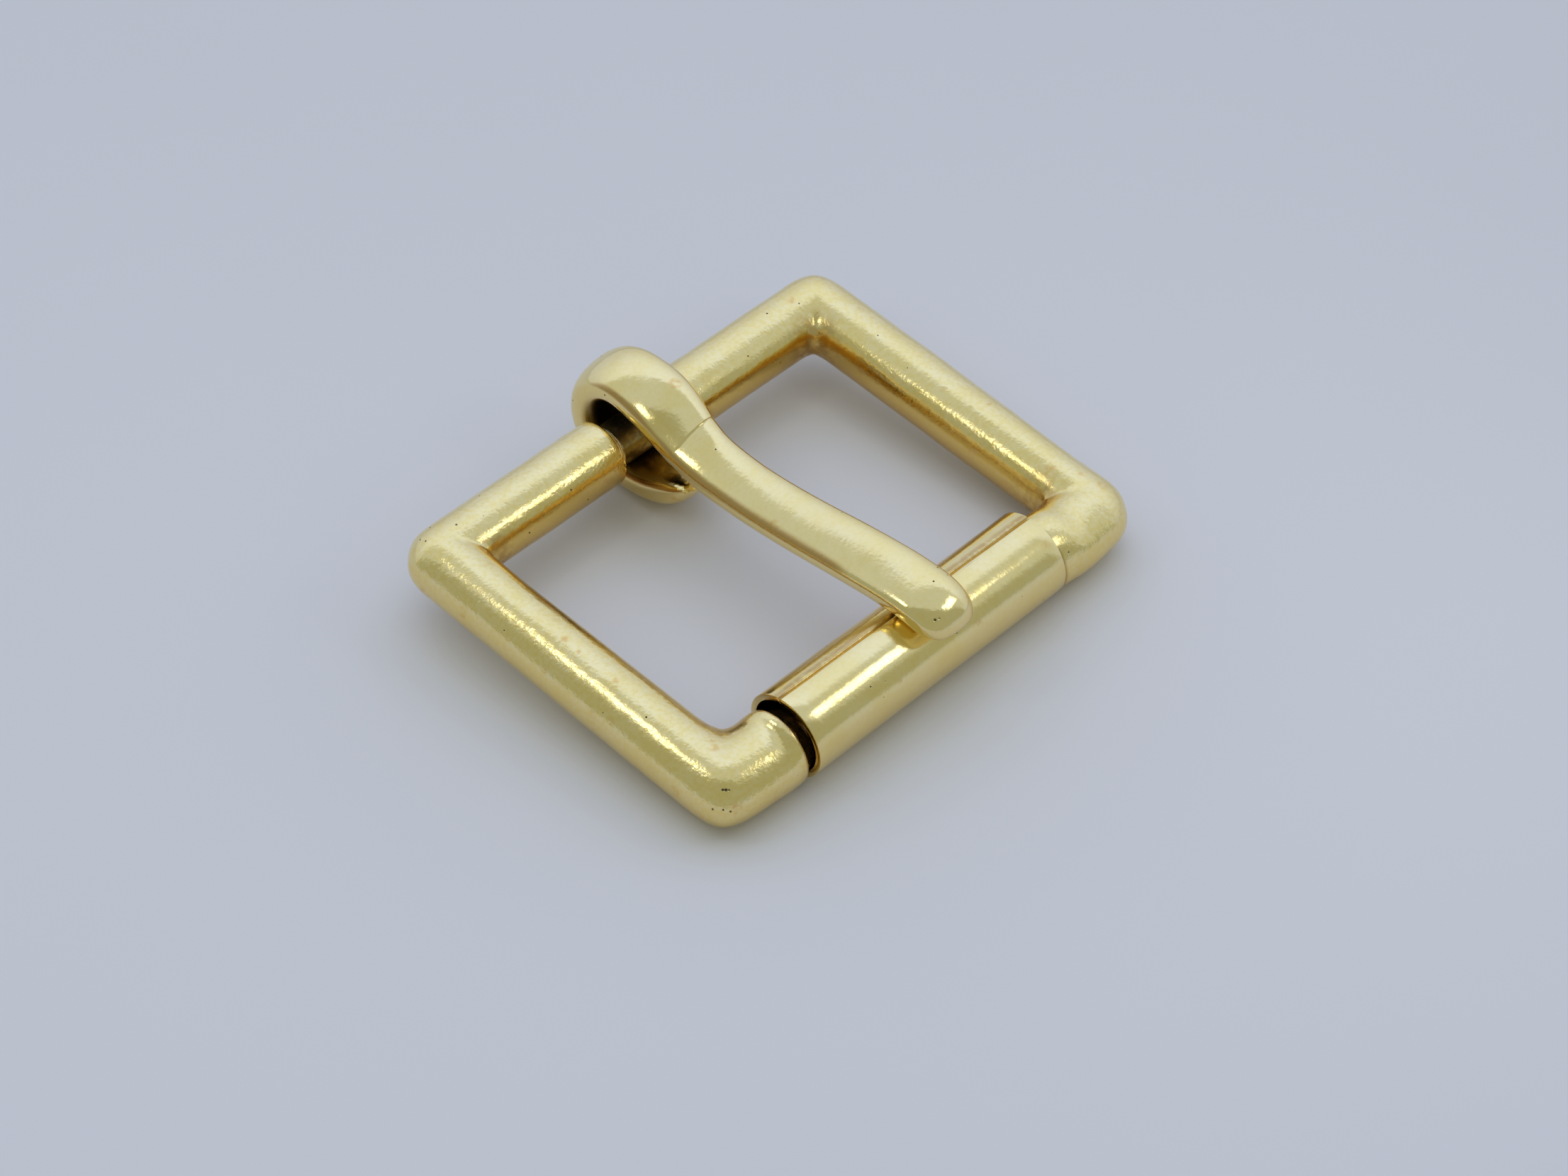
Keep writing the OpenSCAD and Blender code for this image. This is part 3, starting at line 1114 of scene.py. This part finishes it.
def upper_side(finish):
    """1 where the surface faces upwards, because the seam's masks repeat on the tube's other side."""
    return finish.between(0.5, 0.7, finish.part(finish.normal, "Z"))


def seam_brown_reflection(finish):
    """Brown painted reflection in a band behind the seam, on the tube's upper side."""
    behind = behind_seam(finish)
    ragged = finish.between(0.3, 0.6, finish.noise(1.6, 4.0))
    return finish.band(behind, 0.25, 0.15, 0.55) * upper_side(finish) * (0.2 + 0.4 * ragged)


def seam_dark_shading(finish):
    """Dark painted shade along the seam's edges."""
    return finish.band(behind_seam(finish), 0.0, 0.04, 0.16) * upper_side(finish) * 0.5


def cast_brass():
    return polished_brass("cast_brass", 0.17, 15.0, 0.7, casting_inside, casting_brown_shading, casting_dark_shading)


def prong_brass():
    return polished_brass("prong_brass", 0.12, 6.0, 0.3, prong_inside, prong_shading_and_reflection, eye_dark_shading)


def rolled_brass():
    brush = (14.0, 0.8, 0.8)
    return polished_brass("rolled_brass", 0.14, 5.0, 0.3, tube_inside, seam_brown_reflection, seam_dark_shading, brush)


def floor_finish():
    """Pale matt floor with a faint unevenness."""
    finish = Finish("pale_floor", roughness=0.9)
    base = settings().studio.floor
    soft = finish.noise(0.02, 3.0)
    darker = [part * 0.97 for part in base]
    finish.drive("Base Color", finish.mix(soft, base, darker))
    return finish.material


# Soft boxes: name, place and size in millimetres, radiance, and whether the brass mirrors them
LAMPS = (
    # name, x, y, z, size, radiance, mirrored
    ("left_box", -59, 31, 88, 22, 2.2, True),
    ("right_box", 30, -50, 60, 20, 2.0, True),
    ("top_box", 0, 0, 400, 300, 0.5, False),
)

# The far wall lies this way, in degrees to the right of straight on past the hinge bar; its top edge
# and the ceiling's edge, as the distance from overhead for each unit of height, and how soft they are
FAR_TURN = 47
WALL_EDGE = 0.37
CEILING_EDGE = 0.22
EDGE_SOFTNESS = 0.03

FLOOR_SIZE = 4

# The camera's place, and the ways of the picture's right and upper sides
CAMERA_PLACE = (-0.15542, -0.15673, 0.22140)
CAMERA_RIGHT = (0.70332, -0.71087, -0.00208)
CAMERA_UP = (0.50701, 0.49957, 0.70240)


class BUCKLE_OT_studio(Operator):
    """Set the floor, the soft lights and the camera"""

    bl_idname = "buckle.studio"
    bl_label = "Studio"

    def execute(self, context):
        studio = context.scene.studio
        start_mesh()
        bpy.ops.mesh.primitive_plane_add(size=FLOOR_SIZE)
        floor = context.object
        floor.name = "floor"
        floor.data.materials.append(floor_finish())
        for name, x, y, z, size, radiance, mirrored in LAMPS:
            self.add_lamp(name, Vector((x, y, z)) * MM, size * MM, radiance, mirrored, studio.lamp)
        self.add_sky(context.scene, studio)
        self.add_camera(context.scene, studio)
        return {"FINISHED"}

    def add_lamp(self, name, place, size, radiance, mirrored, tint):
        """A square soft box that faces the buckle and isn't seen by the camera itself."""
        bpy.ops.object.light_add(type="AREA", location=place)
        lamp = bpy.context.object
        lamp.name = name
        lamp.rotation_euler = place.to_track_quat("Z", "Y").to_euler()
        lamp.visible_camera = False
        lamp.visible_glossy = mirrored
        lamp.data.shape = "SQUARE"
        lamp.data.size = size
        lamp.data.color = tint
        lamp.data.energy = radiance * math.pi * size * size

    def add_sky(self, scene, studio):
        """Soft light from a pale far wall, a strip of ceiling and the darker room behind the camera."""
        scene.world = bpy.data.worlds.new("soft_light")
        scene.world.use_nodes = True
        sky = Nodes(scene.world.node_tree)
        way = sky.node("ShaderNodeTexCoord", output="Generated")
        far = math.radians(FAR_TURN)
        up = sky.dot(way, (0, 0, 1))
        away = sky.dot(way, (math.sin(far), math.cos(far), 0))
        wall = sky.mix(sky.between(0.05, 1.0, up), studio.wall_foot, studio.wall_top)
        past_wall = sky.between(-EDGE_SOFTNESS, EDGE_SOFTNESS, away - up * WALL_EDGE)
        past_ceiling = sky.between(-EDGE_SOFTNESS, EDGE_SOFTNESS, away + up * CEILING_EDGE)
        light = sky.mix(past_ceiling, studio.room, sky.mix(past_wall, studio.ceiling, wall))
        background = scene.world.node_tree.nodes["Background"]
        sky.tree.links.new(light.socket, background.inputs["Color"])
        background.inputs["Strength"].default_value = studio.strength

    def add_camera(self, scene, studio):
        bpy.ops.object.camera_add(location=CAMERA_PLACE)
        camera = bpy.context.object
        camera.name = "studio_camera"
        right = Vector(CAMERA_RIGHT)
        up = Vector(CAMERA_UP)
        camera.rotation_euler = Matrix((right, up, right.cross(up))).transposed().to_euler()
        camera.data.sensor_fit = "HORIZONTAL"
        camera.data.sensor_width = 36
        camera.data.lens = studio.lens
        camera.data.clip_start = 0.01
        scene.camera = camera
        scene.view_settings.view_transform = "Standard"


class BUCKLE_PT_panel(Panel):
    """Sizes and finishes of the buckle"""

    bl_idname = "BUCKLE_PT_panel"
    bl_label = "Roller Buckle"
    bl_space_type = "VIEW_3D"
    bl_region_type = "UI"
    bl_category = "Buckle"

    def draw(self, context):
        for step in STEPS:
            self.layout.operator(step.bl_idname)
        for name, group in GROUPS.items():
            box = self.layout.box()
            box.label(text=name.replace("_", " ").capitalize())
            for key in group.__annotations__:
                box.prop(getattr(context.scene, name), key)


GROUPS = {
    "casting_sizes": CastingSizes,
    "prong_sizes": ProngSizes,
    "tube_sizes": TubeSizes,
    "brass_colours": BrassColours,
    "studio": StudioSettings,
}
STEPS = (BUCKLE_OT_studio, BUCKLE_OT_frame_casting, BUCKLE_OT_prong, BUCKLE_OT_rolled_tube)
CLASSES = (*GROUPS.values(), *STEPS, BUCKLE_PT_panel)


def register():
    for cls in CLASSES:
        bpy.utils.register_class(cls)
    for name, group in GROUPS.items():
        setattr(bpy.types.Scene, name, PointerProperty(type=group))


def unregister():
    for name in GROUPS:
        delattr(bpy.types.Scene, name)
    for cls in reversed(CLASSES):
        bpy.utils.unregister_class(cls)


def main():
    register()
    bpy.ops.buckle.studio()
    bpy.ops.buckle.frame_casting()
    bpy.ops.buckle.prong()
    bpy.ops.buckle.rolled_tube()


if __name__ == "__main__":
    main()
